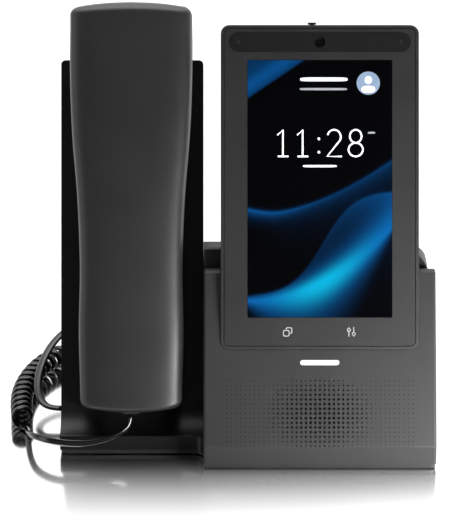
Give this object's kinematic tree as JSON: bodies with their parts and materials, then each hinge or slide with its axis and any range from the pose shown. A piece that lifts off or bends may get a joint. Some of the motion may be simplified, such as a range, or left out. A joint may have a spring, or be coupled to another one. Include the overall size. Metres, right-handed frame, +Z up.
{
  "type": "desk ip phone",
  "caption": "Desk phone with a portrait touch display on a wedge base, a corded handset standing in a leaning cradle, and a curly cord.",
  "frame": {"origin": "under the middle of the phone's footprint, on the surface it stands on, cord left out", "axes": "+X to the right seen from the user, +Y to the back, +Z up"},
  "size_m": [0.2061, 0.1563, 0.207],
  "materials": {
    "base_plastic": "fine-textured satin, near black",
    "cradle_plastic": "satin, near black",
    "handset_plastic": "satin, near black",
    "display_plastic": "fine-textured matte, near black",
    "gloss_black": "gloss black",
    "screen_glass": "gloss, over a lit picture",
    "lens_glass": "polished",
    "light_lens": "frosted white, lit",
    "feet_rubber": "matte",
    "cord_black": "glossy black",
    "plug_plastic": "clear, a little smoky",
    "steel": "zinc plated",
    "magnet": "nickel plated",
    "board": "green solder mask",
    "standoff_brass": "turned",
    "speaker_cloth": "fine woven black",
    "socket_plastic": "moulded black",
    "module_metal": "satin"
  },
  "bodies": {
    "base": {"ballast_plate": "steel", "base_front_shell": "base_plastic", "base_plate": "base_plastic", "base_screws": "steel", "board_standoffs": "standoff_brass", "camera_board": "board", "camera_lens": "lens_glass", "camera_module": "socket_plastic", "camera_strip": "gloss_black", "cord_coil": "cord_black", "cord_front_tail": "cord_black", "cord_plug_base": "plug_plastic", "cord_rear_tail": "cord_black", "cradle_back": "cradle_plastic", "cradle_front": "cradle_plastic", "cradle_magnets": "magnet", "display_board": "board", "display_glass": "screen_glass", "front_bezel": "display_plastic", "handset_port": "socket_plastic", "hook_sensor": "socket_plastic", "lcd_module": "module_metal", "light_bar": "light_lens", "light_board": "board", "main_board": "board", "microphones": "module_metal", "network_port": "socket_plastic", "panel_back": "display_plastic", "panel_bracket": "steel", "panel_frame": "display_plastic", "panel_screws": "steel", "rear_housing": "base_plastic", "rubber_feet": "feet_rubber", "speaker_basket": "steel", "speaker_cloth": "speaker_cloth", "speaker_cone": "socket_plastic", "speaker_magnet": "magnet", "touch_key_board": "board"},
    "handset": {"handset_outer_shell": "handset_plastic", "handset_inner_shell": "handset_plastic", "ear_cloth": "speaker_cloth", "earpiece_speaker": "steel", "handset_microphone": "module_metal", "handset_magnets": "magnet", "handset_screws": "steel", "weight_bar": "steel", "handset_jack": "socket_plastic", "cord_plug_handset": "plug_plastic"},
    "shutter": {"shutter_blade": "gloss_black", "shutter_knob": "gloss_black"}
  },
  "joints": [
    {"name": "handset_lift", "type": "slide", "parent": "base", "child": "handset", "axis": [0, -0.9272, 0.3746], "range_m": [0, 0.1]},
    {"name": "shutter_slide", "type": "slide", "parent": "base", "child": "shutter", "axis": [1, 0, 0], "range_m": [0, 0.0074]}
  ]
}
